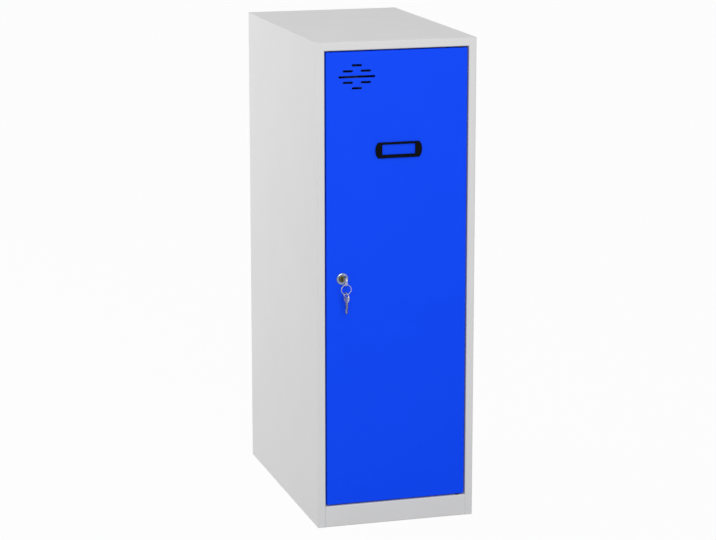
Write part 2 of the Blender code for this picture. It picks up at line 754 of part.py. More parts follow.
def lock_body():
    """Housing with a domed rim, and the washer and nut that clamp it to the door sheet."""
    bore = PLUG_RADIUS + RUNNING
    counterbore = PLUG_HEAD_RADIUS + RUNNING
    floor = PLUG_PROUD - PLUG_HEAD - FIT
    housing = [
        (counterbore, LOCK_PROUD),
        *dome(LOCK_RIM_FACE, LOCK_PROUD, LOCK_RIM, LOCK_RIM_EDGE),
        (LOCK_RIM, FIT),
        (LOCK_BODY, FIT),
        (LOCK_BODY, -LOCK_LENGTH),
        (bore, -LOCK_LENGTH),
        (bore, floor),
        (counterbore, floor),
    ]
    turned("lock_housing", housing, CHROME, LOCK, DOOR_AXIS, FACING_FRONT)
    seat = -SHEET - FIT
    hole = LOCK_BODY + FIT
    under = seat - WASHER_WALL
    washer = [(hole, seat), (WASHER_RADIUS, seat), (WASHER_RADIUS, under), (hole, under)]
    turned("lock_washer", washer, ZINC, LOCK, DOOR_AXIS, FACING_FRONT)
    front = LOCK + Vector((0, SHEET + WASHER_WALL + 2 * FIT, 0))
    back = front + Vector((0, NUT_WALL, 0))
    bm = bmesh.new()
    add_rod(bm, NUT_RADIUS, front, back, 6)
    origin = world_place(DOOR_AXIS)
    nut = new_part("lock_nut", mesh_of("lock_nut", bm, origin), ZINC, origin, DOOR_AXIS)
    bm = bmesh.new()
    beyond = Vector((0, NUT_WALL, 0))
    add_rod(bm, hole, front - beyond, back + beyond)
    combine(nut, new_cutter("lock_nut_bore", bm, DOOR_AXIS))


def lock_core():
    """Plug with its keyway and square tail, the cam on the tail and the screw that holds it."""
    neck = PLUG_PROUD - PLUG_HEAD
    profile = [
        (0, PLUG_PROUD),
        (PLUG_HEAD_RADIUS, PLUG_PROUD),
        (PLUG_HEAD_RADIUS, neck),
        (PLUG_RADIUS, neck),
        (PLUG_RADIUS, -LOCK_LENGTH),
        (0, -LOCK_LENGTH),
    ]
    plug = turned("lock_plug", profile, BRASS, LOCK, LOCK_AXIS, FACING_FRONT)
    half = PLUG_TAIL / 2
    tail_end = CAM_BACK - FIT
    tail = bmesh.new()
    low = LOCK + Vector((-half, LOCK_LENGTH - SCREW_GRIP, -half))
    add_box(tail, low, LOCK + Vector((half, tail_end, half)))
    combine(plug, new_cutter("plug_tail", tail, LOCK_AXIS), "UNION")
    holes = bmesh.new()
    slot = Vector((KEY_WALL / 2 + RUNNING, 0, KEY_BLADE_WIDTH / 2 + RUNNING))
    reach = Vector((0, KEY_BLADE - PLUG_PROUD, 0))
    add_box(holes, LOCK - slot - Vector((0, 2 * PLUG_PROUD, 0)), LOCK + slot + reach)
    far = LOCK + Vector((0, tail_end, 0))
    depth = Vector((0, SCREW_GRIP, 0))
    add_rod(holes, SCREW_RADIUS + RUNNING, far - depth, far + depth)
    combine(plug, new_cutter("plug_holes", holes, LOCK_AXIS))

    lean = asin((CAM_HUB - CAM_TIP) / (CAM_REACH - CAM_TIP))
    outline = arc((0, 0), CAM_HUB, pi / 2 - lean, 3 * pi / 2 + lean)
    outline += arc((CAM_REACH - CAM_TIP, 0), CAM_TIP, lean - pi / 2, pi / 2 - lean)
    side = half + RUNNING
    square = [(side, side), (-side, side), (-side, -side), (side, -side)]
    place = LOCK + Vector((0, (CAM_FRONT + CAM_BACK) / 2, 0))
    flat_plate("lock_cam", [outline, square], CAM_WALL, ZINC, place, LOCK_AXIS, ((0, 0, -1), (-1, 0, 0)))

    screw = [
        (0, FIT + SCREW_HEAD),
        *dome(SCREW_FACE, FIT + SCREW_HEAD, SCREW_HEAD_RADIUS, FIT + SCREW_EDGE),
        (SCREW_HEAD_RADIUS, FIT),
        (SCREW_RADIUS, FIT),
        (SCREW_RADIUS, -SCREW_GRIP),
        (0, -SCREW_GRIP),
    ]
    turned("cam_screw", screw, ZINC, LOCK + Vector((0, CAM_BACK, 0)), LOCK_AXIS, FACING_BACK)


def key_outlines(zero):
    """A key's outline and the slot for its ring along its length, counted from zero, past the shoulder."""
    blade = KEY_BLADE_WIDTH / 2
    neck = KEY_NECK_WIDTH / 2
    bow = KEY_BOW / 2
    centre = (KEY_NECK + bow, 0)
    outline = [(-KEY_BLADE, 0), (KEY_TIP - KEY_BLADE, -blade)]
    pitch = (KEY_BLADE - 2 * KEY_TIP) / KEY_BITES
    for bite in range(KEY_BITES):
        middle = KEY_TIP - KEY_BLADE + (bite + 0.5) * pitch
        depth = KEY_BITE * (1 + bite % 2) / 2
        outline += [(middle - pitch / 3, -blade), (middle, depth - blade), (middle + pitch / 3, -blade)]
    outline += [(0, -blade), (0, -neck)]
    join = asin(neck / bow)
    outline += arc(centre, bow, join - pi, pi - join)
    outline += [(0, neck), (0, blade), (KEY_TIP - KEY_BLADE, blade)]
    slot = arc((HOLE_ALONG, KEY_SLOT / 2), KEY_HOLE, 0, pi, WIRE_STEPS)
    slot += arc((HOLE_ALONG, -KEY_SLOT / 2), KEY_HOLE, pi, 2 * pi, WIRE_STEPS)
    return [[(along - zero, across) for along, across in line] for line in (outline, slot)]


def keys():
    """One key in the lock, the ring through its bow, and the spare that hangs on the ring."""
    shoulder = LOCK - Vector((0, PLUG_PROUD + FIT, 0))
    flat_plate("key", key_outlines(0), KEY_WALL, NICKEL, shoulder, KEY_AXIS, ((0, -1, 0), (0, 0, 1)))
    bpy.ops.mesh.primitive_torus_add(
        major_radius=RING_RADIUS, minor_radius=RING_WIRE, major_segments=40, minor_segments=8
    )
    made = bpy.context.object
    mesh = made.data
    bpy.data.objects.remove(made)
    mesh.transform(Matrix.Translation((0, -RING_RADIUS, 0)))
    smooth(mesh)
    new_part("key_ring", mesh, NICKEL, RING, RING_AXIS, FACING_FRONT)
    facing = Vector((cos(SPARE_TURN), sin(SPARE_TURN), 0))
    up = Vector((0, 0, 1))
    hung = key_outlines(HOLE_ALONG + HANG)
    flat_plate("spare_key", hung, KEY_WALL, NICKEL, SPARE, SPARE_AXIS, (up, facing.cross(up)))


# The moving pieces hang on empties, one on each joint's axis
DOOR_AXIS = new_empty("door_axis", HINGE)
LOCK_AXIS = new_empty("lock_axis", LOCK, DOOR_AXIS)
KEY_AXIS = new_empty("key_axis", LOCK, LOCK_AXIS)
RING_AXIS = new_empty("ring_axis", RING, KEY_AXIS)
SPARE_AXIS = new_empty("spare_axis", SPARE, RING_AXIS)

# The fixed body
STILE_TOP_CUT = stile_top_cut()
RAIL_CUTS = rail_end_cuts()
LEFT_SIDE = side_panel("left_side_panel", -1)
side_panel("right_side_panel", 1)
combine(LEFT_SIDE, buffers())
top_panel()
plinth()
back_panel()
floor_and_shelf()
coat_rail()

# The door and what it carries
door()
label_frame()
hinges()
lock_body()
lock_core()
keys()
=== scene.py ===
"""Metal locker with one blue door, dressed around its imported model."""

import json
from math import pi, radians

import bmesh
import bpy
import numpy as np
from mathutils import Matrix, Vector
from mathutils.geometry import tessellate_polygon

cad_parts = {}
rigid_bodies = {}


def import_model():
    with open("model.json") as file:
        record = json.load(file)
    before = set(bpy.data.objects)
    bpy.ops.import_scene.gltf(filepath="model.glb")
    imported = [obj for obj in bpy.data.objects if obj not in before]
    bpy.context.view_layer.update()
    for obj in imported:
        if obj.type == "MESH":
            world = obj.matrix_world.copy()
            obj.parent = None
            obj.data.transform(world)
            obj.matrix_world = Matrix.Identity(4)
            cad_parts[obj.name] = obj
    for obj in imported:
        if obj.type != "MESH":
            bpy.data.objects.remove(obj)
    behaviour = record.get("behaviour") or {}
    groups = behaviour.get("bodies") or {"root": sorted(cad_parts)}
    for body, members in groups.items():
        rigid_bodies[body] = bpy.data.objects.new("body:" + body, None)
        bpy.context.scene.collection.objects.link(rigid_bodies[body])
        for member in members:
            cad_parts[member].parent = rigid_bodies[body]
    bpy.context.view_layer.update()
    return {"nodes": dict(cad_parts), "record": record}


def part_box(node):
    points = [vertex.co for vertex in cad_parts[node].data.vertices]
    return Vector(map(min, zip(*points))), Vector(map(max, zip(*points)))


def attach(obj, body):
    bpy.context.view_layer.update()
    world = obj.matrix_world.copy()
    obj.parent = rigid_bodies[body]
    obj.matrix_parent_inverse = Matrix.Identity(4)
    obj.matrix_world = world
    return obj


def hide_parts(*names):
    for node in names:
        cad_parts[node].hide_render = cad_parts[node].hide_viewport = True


for leftover in list(bpy.data.objects):
    bpy.data.objects.remove(leftover)
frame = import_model()
nodes = frame["nodes"]
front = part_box("door_panel")[0][1]
scene = bpy.context.scene
scene.view_settings.view_transform = "Standard"


# Camera: a long lens half a metre above the locker, to the left of its door and looking a little down.
# Its place and aim were fitted to the straight edges of the photograph, whose frame is 716 pixels wide.
FOCAL_PIXELS, FRAME_PIXELS, SENSOR_MM = 2478.7, 716, 36.0
CAMERA_X, CAMERA_BEFORE_DOOR, CAMERA_Z = -1.3162, 4.2125, 1.4527
LOOK_DOWN, LOOK_RIGHT = radians(12.439), radians(16.436)
camera = bpy.data.objects.new("camera", bpy.data.cameras.new("camera"))
scene.collection.objects.link(camera)
camera.data.sensor_width = SENSOR_MM
camera.data.lens = FOCAL_PIXELS * SENSOR_MM / FRAME_PIXELS
camera.location = (CAMERA_X, front - CAMERA_BEFORE_DOOR, CAMERA_Z)
camera.rotation_euler = (pi / 2 - LOOK_DOWN, 0, -LOOK_RIGHT)
scene.camera = camera


# White studio: a pale floor and an even white surround, which the camera and the metal see as white.
# Two large soft lamps light the locker, one from the left and a higher one from in front.
def linear(code):
    """A hex sRGB colour as linear red, green, blue and alpha: a part c of 1 turns to c / 12.92 up to 0.04045,
    and above that to (c + 0.055) / 1.055 to the power 2.4."""
    parts = np.array([int(code[at:at + 2], 16) for at in (1, 3, 5)]) / 255
    low, high = parts / 12.92, ((parts + 0.055) / 1.055) ** 2.4
    return (*np.where(parts <= 0.04045, low, high), 1.0)


def add(tree, kind, inputs=(), **settings):
    """Adds a node: settings are its own properties, and each input gets a value or a link."""
    made = tree.nodes.new("ShaderNode" + kind)
    for name, value in settings.items():
        setattr(made, name, value)
    for name, value in dict(inputs).items():
        if isinstance(value, bpy.types.NodeSocket):
            tree.links.new(value, made.inputs[name])
        else:
            made.inputs[name].default_value = value
    return made


def seen_directly(tree, share):
    """That share for camera, glossy and transmission rays, and none for the rest."""
    rays = add(tree, "LightPath").outputs
    seen = add(tree, "Math", {0: rays["Is Camera Ray"], 1: rays["Is Glossy Ray"]}, operation="MAXIMUM")
    seen = add(tree, "Math", {0: seen.outputs[0], 1: rays["Is Transmission Ray"]}, operation="MAXIMUM")
    return add(tree, "Math", {0: seen.outputs[0], 1: share}, operation="MULTIPLY").outputs[0]


WHITE, FLOOR_GREY = linear("#FFFFFF"), linear("#A8A8A8")
SURROUND_LIGHT, SHOWN_WHITE = 0.51, 1.0
SURROUND_SHARE, FLOOR_SHARE, FLOOR_HALF = 1.0, 0.97, 30.0
world = bpy.data.worlds.new("studio")
world.use_nodes = True
scene.world = world
tree = world.node_tree
tree.nodes.clear()
lit = add(tree, "Background", {"Color": WHITE, "Strength": SURROUND_LIGHT})
shown = add(tree, "Background", {"Color": WHITE, "Strength": SHOWN_WHITE})
seen = seen_directly(tree, SURROUND_SHARE)
mixed = add(tree, "MixShader", {0: seen, 1: lit.outputs[0], 2: shown.outputs[0]})
add(tree, "OutputWorld", {"Surface": mixed.outputs[0]})

square_corners = np.array([(-1, -1), (1, -1), (1, 1), (-1, 1)])
floor_mesh = bpy.data.meshes.new("floor")
floor_mesh.from_pydata(np.pad(square_corners * FLOOR_HALF, ((0, 0), (0, 1))).tolist(), [], [(0, 1, 2, 3)])
floor = bpy.data.objects.new("floor", floor_mesh)
scene.collection.objects.link(floor)
floor_white = bpy.data.materials.new("floor white")
floor_white.use_nodes = True
tree = floor_white.node_tree
tree.nodes.clear()
lit = add(tree, "BsdfDiffuse", {"Color": FLOOR_GREY})
shown = add(tree, "Emission", {"Color": WHITE, "Strength": SHOWN_WHITE})
seen = seen_directly(tree, FLOOR_SHARE)
mixed = add(tree, "MixShader", {0: seen, 1: lit.outputs[0], 2: shown.outputs[0]})
add(tree, "OutputMaterial", {"Surface": mixed.outputs[0]})
floor_mesh.materials.append(floor_white)

for name, place, aim, size, power in (
    ("left lamp", (-2.4, 1.4, 1.4), (0, 0, 0.5), 1.6, 42.0),
    ("front lamp", (-0.4, -3.2, 1.8), (0, 0, 0.6), 1.6, 58.0),
):
    lamp = bpy.data.objects.new(name, bpy.data.lights.new(name, "AREA"))
    lamp.data.size = size
    lamp.data.energy = power
    lamp.location = place
    lamp.rotation_euler = (Vector(place) - Vector(aim)).to_track_quat("Z", "Y").to_euler()
    scene.collection.objects.link(lamp)


# Body: cold rolled steel sheet 0.8 mm thick, folded, spot welded and powder coated light grey.
# The floor and the shelf's two angles are welded in, the shelf rests on the angles, and all are coated alike.
def bare_material(name):
    """A new material with nothing in it yet, its node tree, and the piece's coordinates for its patterns."""
    made = bpy.data.materials.new(name)
    made.use_nodes = True
    tree = made.node_tree
    tree.nodes.clear()
    return made, tree, add(tree, "TexCoord").outputs["Object"]


def surface(tree, colour, rough, bump, constants):
    """The shader of a material, with its linked colour, roughness and bump, and what is the same all over."""
    linked = {"Base Color": colour, "Roughness": rough, "Normal": bump}
    shader = add(tree, "BsdfPrincipled", linked | constants)
    add(tree, "OutputMaterial", {"Surface": shader.outputs[0]})


# A Mix node's places for colours: its factor, its two colours and, among its outputs, the mixed colour.
FACTOR, COLOUR_1, COLOUR_2, MIXED = 0, 6, 7, 2
# The coat's thickness wanders nine times to the metre, or over about 110 mm.
# Orange peel is 1 to 2 mm across; 2.5 mm is the finest that shows here.
MOTTLES_PER_METRE, PEEL, PEEL_SPREAD = 9.0, 0.0025, 0.04


def powder_coat(name, code, roughness, specular):
    """Satin powder coat: one even colour with a slow mottle of one part in a hundred, and the orange peel of
    the baked powder in its bump and its roughness."""
    made, tree, place = bare_material(name)
    mottle = add(tree, "TexNoise", {"Vector": place, "Scale": MOTTLES_PER_METRE, "Detail": 3.0}).outputs[0]
    tone = add(tree, "MapRange", {
        "Value": mottle, "From Min": 0.3, "From Max": 0.7, "To Min": 0.99, "To Max": 1.01,
    }).outputs[0]
    mixed = {FACTOR: 1.0, COLOUR_1: linear(code), COLOUR_2: tone}
    colour = add(tree, "Mix", mixed, data_type="RGBA", blend_type="MULTIPLY").outputs[MIXED]
    peel = add(tree, "TexNoise", {"Vector": place, "Scale": 1 / PEEL, "Detail": 1.5}).outputs[0]
    rough = add(tree, "MapRange", {
        "Value": peel, "To Min": roughness - PEEL_SPREAD, "To Max": roughness + PEEL_SPREAD,
    }).outputs[0]
    bump = add(tree, "Bump", {"Height": peel, "Strength": 0.06, "Distance": 0.0004}).outputs[0]
    surface(tree, colour, rough, bump, {"IOR": 1.5, "Specular IOR Level": specular})
    return made


def finish(material, *names):
    """Gives CAD nodes a material."""
    for name in names:
        nodes[name].data.materials.clear()
        nodes[name].data.materials.append(material)


grey_coat = powder_coat("light grey powder coat", "#DBDBDB", 0.45, 0.4)
finish(
    grey_coat, "left_side_panel", "right_side_panel", "back_panel", "top_panel", "floor_panel", "plinth",
    "shelf", "shelf_support_left", "shelf_support_right",
)


# Welded seams: the rail and the plinth butt against the folded stiles, each joint welded from the front.
# The two upper welds are ground flush and vanish under the coat; the two at the foot sink a little.
def round_points(t):
    """The points (cos t, sin t) of a circle of radius 1."""
    return np.stack([np.cos(t), np.sin(t)], 1)


def circle(radius, steps=96):
    """A round outline: radius times the points of a circle at even steps."""
    return radius * round_points(np.linspace(0, 2 * pi, steps, endpoint=False))


def squares(rows, columns, round_rows=False):
    """Corner numbers of the squares of a grid whose columns go round, and its rows too where asked: the
    square at row i and column j has the points i and i + 1 by j and j + 1, and a point's number is
    i columns + j."""
    row, column = np.arange(rows if round_rows else rows - 1)[:, None], np.arange(columns)[None]
    below, beside = (row + 1) % rows, (column + 1) % columns
    corners = ((row, column), (row, beside), (below, beside), (below, column))
    return np.stack([i * columns + j for i, j in corners], -1).reshape(-1, 4)


def capped(path, reach, steps=6):
    """A path with rounded ends: both go on by reach cos q while the section shrinks by sin q."""
    q = np.linspace(0, pi / 2, steps, endpoint=False)
    ends = np.stack([path[0] - path[1], path[-1] - path[-2]])
    ends *= reach / np.linalg.norm(ends, axis=1, keepdims=True)
    before = path[0] + np.outer(np.cos(q), ends[0])
    after = path[-1] + np.outer(np.cos(q[::-1]), ends[1])
    size = np.concatenate([np.sin(q), np.ones(len(path)), np.sin(q[::-1])])
    return np.concatenate([before, path, after]), size


def swept(section, path, side, size):
    """A closed section carried along a path p with direction t: its point (a, b) goes to
    p + size (a side + b side x t)."""
    along = np.gradient(path, axis=0)
    along /= np.linalg.norm(along, axis=1, keepdims=True)
    third = np.cross(side, along)
    section = section * size[:, None, None]
    points = path[:, None] + section[..., :1] * side + section[..., 1:] * third[:, None]
    return points.reshape(-1, 3), squares(len(path), section.shape[1])


def new_piece(name, shells, material, body, replaced=()):
    """One object from shells of points and faces: doubles merged, faces outwards, and edges sharp past
    35 degrees."""
    starts = np.cumsum([0] + [len(shell[0]) for shell in shells])
    points = np.concatenate([shell[0] for shell in shells])
    faces = [(group + start).tolist() for shell, start in zip(shells, starts) for group in shell[1:]]
    mesh = bpy.data.meshes.new(name)
    mesh.from_pydata(points.tolist(), [], sum(faces, []))
    bm = bmesh.new()
    bm.from_mesh(mesh)
    bmesh.ops.remove_doubles(bm, verts=bm.verts, dist=1e-6)
    bmesh.ops.recalc_face_normals(bm, faces=bm.faces)
    bm.to_mesh(mesh)
    bm.free()
    mesh.shade_smooth()
    mesh.set_sharp_from_angle(angle=radians(35))
    mesh.materials.append(material)
    made = bpy.data.objects.new(name, mesh)
    scene.collection.objects.link(made)
    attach(made, body)
    if replaced:
        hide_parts(*replaced)
    return made


RIGHT, BACK, UP = np.eye(3)
SEAM_X, SEAM_HALF, SEAM_DEEP, SEAM_PROUD, BEND, RUN = 0.1363, 0.0017, 0.0008, 0.00004, 0.002, 0.002
bead = circle(1.0, 32)
bead *= np.where(bead[:, 1:] > 0, (SEAM_HALF, SEAM_PROUD), (SEAM_HALF, SEAM_DEEP))
q = np.linspace(0, pi / 2, 9)
for name, bottom, top, sunk in (("rail_weld", 0.8845, 0.9, 0.0), ("plinth_weld", 0.0, 0.04, 0.001)):
    # The bead follows the folded strip: forward along its underside, round both bends and back along its top.
    bend, back = BEND - sunk, front + BEND + RUN
    rise, fall = bend * np.sin(q), bend * np.cos(q)
    y = np.concatenate([[back], front + BEND - rise, front + BEND - fall, [back]])
    z = np.concatenate([[bottom + sunk], bottom + BEND - fall, top - BEND + rise, [top - sunk]])
    for side, x in (("left", -SEAM_X), ("right", SEAM_X)):
        path, size = capped(np.column_stack([np.full(len(y), x), y, z]), SEAM_PROUD)
        new_piece(f"{name}_{side}", [swept(bead, path, RIGHT, size)], grey_coat, "body")


# Coat rail: a drawn steel tube, zinc plated, that rests in two pressed cups spot welded to the sides.
# The two hooks are bent from 4 mm wire, hang over the rail and slide along it.
def middle_and_half(node):
    """The middle of a CAD node's box, and half its size each way."""
    low, high = np.array(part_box(node))
    return (low + high) / 2, (high - low) / 2


def eased(points, radius, steps=5, closed=True):
    """A line with soft corners: each corner P turns into the parabola that P pulls between two points of its
    sides, a radius away from it or 0.48 of a side away at most."""
    points = np.asarray(points, float)
    before, after = np.roll(points, 1, 0) - points, np.roll(points, -1, 0) - points
    reach = [np.linalg.norm(side, axis=1, keepdims=True) for side in (before, after)]
    cut = np.minimum(radius, 0.48 * np.minimum(*reach))
    if not closed:
        cut[[0, -1]] = 0
    start, end = points + before / reach[0] * cut, points + after / reach[1] * cut
    t = np.linspace(0, 1, steps + 1)[None, :, None]
    line = (1 - t) ** 2 * start[:, None] + 2 * t * (1 - t) * points[:, None] + t ** 2 * end[:, None]
    return line.reshape(-1, points.shape[1])


def turned(radius, height, place, axis, closed=False, steps=96):
    """A profile spun about an axis: radius r and height h at turn t go to
    place + h axis + r (u cos t + w sin t), with u and w square to the axis."""
    radius, height = (np.asarray(part, float).reshape(len(height), -1, 1) for part in (radius, height))
    u = np.roll(np.abs(axis), 1)
    t = np.linspace(0, 2 * pi, steps, endpoint=False)[:, None]
    spoke = np.cos(t) * u + np.sin(t) * np.cross(axis, u)
    points = place + height * axis + radius * spoke
    return points.reshape(-1, 3), squares(len(radius), steps, closed)


def plated(name, codes, roughness, patch, hairline, worn_and_shaded=()):
    """Plated metal: two tones drift over patches that many metres wide, and drawn out hairline marks roughen
    the shine. Each mark of wear and of painted shade, an attribute of the mesh, has a tone and a roughness of
    its own."""
    made, tree, place = bare_material(name)
    drift = add(tree, "TexNoise", {"Vector": place, "Scale": 1 / patch, "Detail": 2.0}).outputs[0]
    share = add(tree, "MapRange", {"Value": drift, "From Min": 0.35, "From Max": 0.65}).outputs[0]
    mixed = {FACTOR: share, COLOUR_1: linear(codes[0]), COLOUR_2: linear(codes[1])}
    colour = add(tree, "Mix", mixed, data_type="RGBA").outputs[MIXED]
    drawn = add(tree, "Mapping", {"Vector": place, "Scale": (1.0, 0.15, 0.6)}).outputs[0]
    marks = add(tree, "TexNoise", {"Vector": drawn, "Scale": 1 / hairline, "Detail": 3.0}).outputs[0]
    rough = add(tree, "MapRange", {
        "Value": marks, "From Min": 0.3, "From Max": 0.7, "To Min": roughness[0], "To Max": roughness[1],
    }).outputs[0]
    bump = add(tree, "Bump", {"Height": marks, "Strength": 0.03, "Distance": 0.0001}).outputs[0]
    for mark, code, smooth in worn_and_shaded:
        share = add(tree, "Attribute", attribute_name=mark).outputs["Fac"]
        mixed = {FACTOR: share, COLOUR_1: colour, COLOUR_2: linear(code)}
        colour = add(tree, "Mix", mixed, data_type="RGBA").outputs[MIXED]
        rough = add(tree, "MapRange", {"Value": share, "To Min": rough, "To Max": smooth}).outputs[0]
    surface(tree, colour, rough, bump, {"Metallic": 1.0})
    return made


# Bright zinc plate: bluish grey with a faint straw cast in patches of 9 mm, and drawing marks 0.8 mm apart.
zinc = plated("bright zinc plate", ("#BCC2C9", "#C5C4BC"), (0.26, 0.38), 0.009, 0.0008)
RAIL_RADIUS, RAIL_WALL, RAIL_EDGE, RAIL_PLAY = 0.008, 0.0012, 0.0003, 0.0003
rail, half = middle_and_half("coat_rail")
inside, end = RAIL_RADIUS - RAIL_WALL, half[0]
tube = eased([(RAIL_RADIUS, end), (RAIL_RADIUS, -end), (inside, -end), (inside, end)], RAIL_EDGE)
new_piece("rail_tube", [turned(*tube.T, rail, RIGHT, closed=True)], zinc, "body", ["coat_rail"])

CUP_FLANGE, CUP_PLATE, CUP_DEPTH, CUP_WALL, CUP_EDGE = 0.015, 0.0015, 0.010, 0.002, 0.0006
bore, brim = RAIL_RADIUS + RAIL_PLAY, CUP_PLATE + CUP_DEPTH
cup = eased([
    (0, CUP_PLATE), (bore, CUP_PLATE), (bore, brim), (bore + CUP_WALL, brim), (bore + CUP_WALL, CUP_PLATE),
    (CUP_FLANGE, CUP_PLATE), (CUP_FLANGE, 0), (0, 0),
], CUP_EDGE, closed=False)
for side, inward in (("left", 1), ("right", -1)):
    node = "rail_socket_" + side
    middle, half = middle_and_half(node)
    shell = turned(*cup.T, (middle[0] - inward * half[0], rail[1], rail[2]), inward * RIGHT)
    new_piece("rail_cup_" + side, [shell], zinc, "body", [node])

# A hook's wire starts at its tail behind the rail, goes over it, down the stem and round the bowl to the tip.
HOOK_WIRE, HOOK_STEM, HOOK_BOWL, TAIL_DEGREES, TIP_DEGREES = 0.002, 0.030, 0.013, -40, -200
loop = RAIL_RADIUS + HOOK_WIRE + RAIL_PLAY
over = loop * round_points(np.radians(np.linspace(TAIL_DEGREES, 180, 56)))
stem = np.linspace((-loop, 0), (-loop, -HOOK_STEM), 12)[1:-1]
bowl = HOOK_BOWL * round_points(np.radians(np.linspace(0, TIP_DEGREES, 56))) - (HOOK_BOWL + loop, HOOK_STEM)
bent = rail[1:] + np.concatenate([over, stem, bowl])
for side in ("left", "right"):
    node = "coat_hook_" + side
    middle, half = middle_and_half(node)
    path, size = capped(np.column_stack([np.full(len(bent), middle[0]), bent]), HOOK_WIRE / 2)
    shell = swept(circle(HOOK_WIRE, 32), path, RIGHT, size)
    new_piece("wire_hook_" + side, [shell], zinc, "hook_" + side, [node])


# Door: a pan of the same sheet with folded returns and lips, and a hat channel welded behind it.
# Both are powder coated a bright ultramarine blue before the lock and the label frame go on.
blue_coat = powder_coat("bright blue powder coat", "#0A4AFC", 0.5, 0.08)
finish(blue_coat, "door_panel", "door_stiffener")


# Door pivots: a headed steel pin at the door's top and foot turns in a flanged nylon bush in the frame.
# An angle of zinc plated strip holds the pin's head against the door's return.
GRAIN_SPREAD = 0.06


def moulded(name, codes, roughness, specular, grain, relief):
    """Moulded plastic or rubber: two close tones, and the fine grain of the mould, that many metres across,
    in its bump and its roughness."""
    made, tree, place = bare_material(name)
    spark = add(tree, "TexNoise", {"Vector": place, "Scale": 1 / grain, "Detail": 2.0}).outputs[0]
    mixed = {FACTOR: spark, COLOUR_1: linear(codes[0]), COLOUR_2: linear(codes[1])}
    colour = add(tree, "Mix", mixed, data_type="RGBA").outputs[MIXED]
    rough = add(tree, "MapRange", {
        "Value": spark, "To Min": roughness - GRAIN_SPREAD, "To Max": roughness + GRAIN_SPREAD,
    }).outputs[0]
    bump = add(tree, "Bump", {"Height": spark, "Strength": relief, "Distance": 0.0002}).outputs[0]
    surface(tree, colour, rough, bump, {"Specular IOR Level": specular})
    return made


finish(zinc, "upper_hinge_bracket", "lower_hinge_bracket")
# Black nylon: a close satin skin with the mould's grain, drawn at 0.7 mm so that it shows.
nylon = moulded("black moulded nylon", ("#101011", "#19191A"), 0.5, 0.2, 0.0007, 0.1)
BUSH_BORE, BUSH_WALL, BUSH_SLEEVE, BUSH_EDGE = 0.0021, 0.0008, 0.0014, 0.0002
PIN_RADIUS, PIN_HEAD_RADIUS, PIN_HEAD, PIN_TAIL, PIN_EDGE = 0.002, 0.0032, 0.004, 0.004, 0.0004
for level, upward in (("upper", UP), ("lower", -UP)):
    middle, half = middle_and_half(level + "_hinge_bush")
    flange, end = half[0], half[2]
    sleeve, step = BUSH_BORE + BUSH_WALL, end - BUSH_SLEEVE
    bush = eased([
        (BUSH_BORE, end), (sleeve, end), (sleeve, step), (flange, step), (flange, -end), (BUSH_BORE, -end),
    ], BUSH_EDGE)
    shell = turned(*bush.T, middle, upward, closed=True)
    new_piece(level + "_bush", [shell], nylon, "body", [level + "_hinge_bush"])
    middle, half = middle_and_half(level + "_hinge_pin")
    end, tail = half[2], PIN_TAIL - half[2]
    head = tail + PIN_HEAD
    pin = eased([
        (0, end), (PIN_RADIUS, end), (PIN_RADIUS, head), (PIN_HEAD_RADIUS, head), (PIN_HEAD_RADIUS, tail),
        (PIN_RADIUS, tail), (PIN_RADIUS, -end), (0, -end),
    ], PIN_EDGE, closed=False)
    new_piece(level + "_pin", [turned(*pin.T, middle, upward)], zinc, "door", [level + "_hinge_pin"])


# Buffers: two rubber studs pushed through holes in the left stile's lip, which the closed door rests on.
# Each is moulded in one piece with a round head, a waist and a barb.
# Black rubber: dull and a little dusty, with a grain of 0.6 mm so that it shows.
rubber = moulded("black moulded rubber", ("#141414", "#232220"), 0.78, 0.2, 0.0006, 0.2)
HEAD_ROUND, STUD_EDGE, STUD_NOOK, BARB_EDGE = 0.0016, 0.0004, 0.0002, 0.0003
STEM, BARB, BARB_LENGTH, LIP_WALL = 0.0018, 0.0028, 0.0025, 0.0014
for level in ("upper", "lower"):
    middle, half = middle_and_half("door_buffer_" + level)
    radius, end = half[0], 2 * half[1]
    waist = end - BARB_LENGTH
    collar = waist - LIP_WALL
    # Each corner's radius and height, and how far it is rounded.
    stud = np.array([
        (0, 0, 0), (radius, 0, HEAD_ROUND), (radius, collar, STUD_EDGE), (STEM, collar, STUD_NOOK),
        (STEM, waist, STUD_NOOK), (BARB, waist, BARB_EDGE), (STEM, end, STUD_EDGE), (0, end, 0),
    ])
    shell = turned(*eased(stud[:, :2], stud[:, 2:], closed=False).T, middle - half[1] * BACK, BACK)
    new_piece(level + "_buffer", [shell], rubber, "body", ["door_buffer_" + level])


# Label frame: one black plastic moulding with bowed ends and an open window for a card.
# Two tabs on its back snap through slots in the door sheet.
def filled(*lines):
    """Corner numbers of the triangles that fill an outline with holes, counted along all its lines."""
    flat = [np.pad(line, ((0, 0), (0, 1))).tolist() for line in lines]
    return np.array(tessellate_polygon(flat))


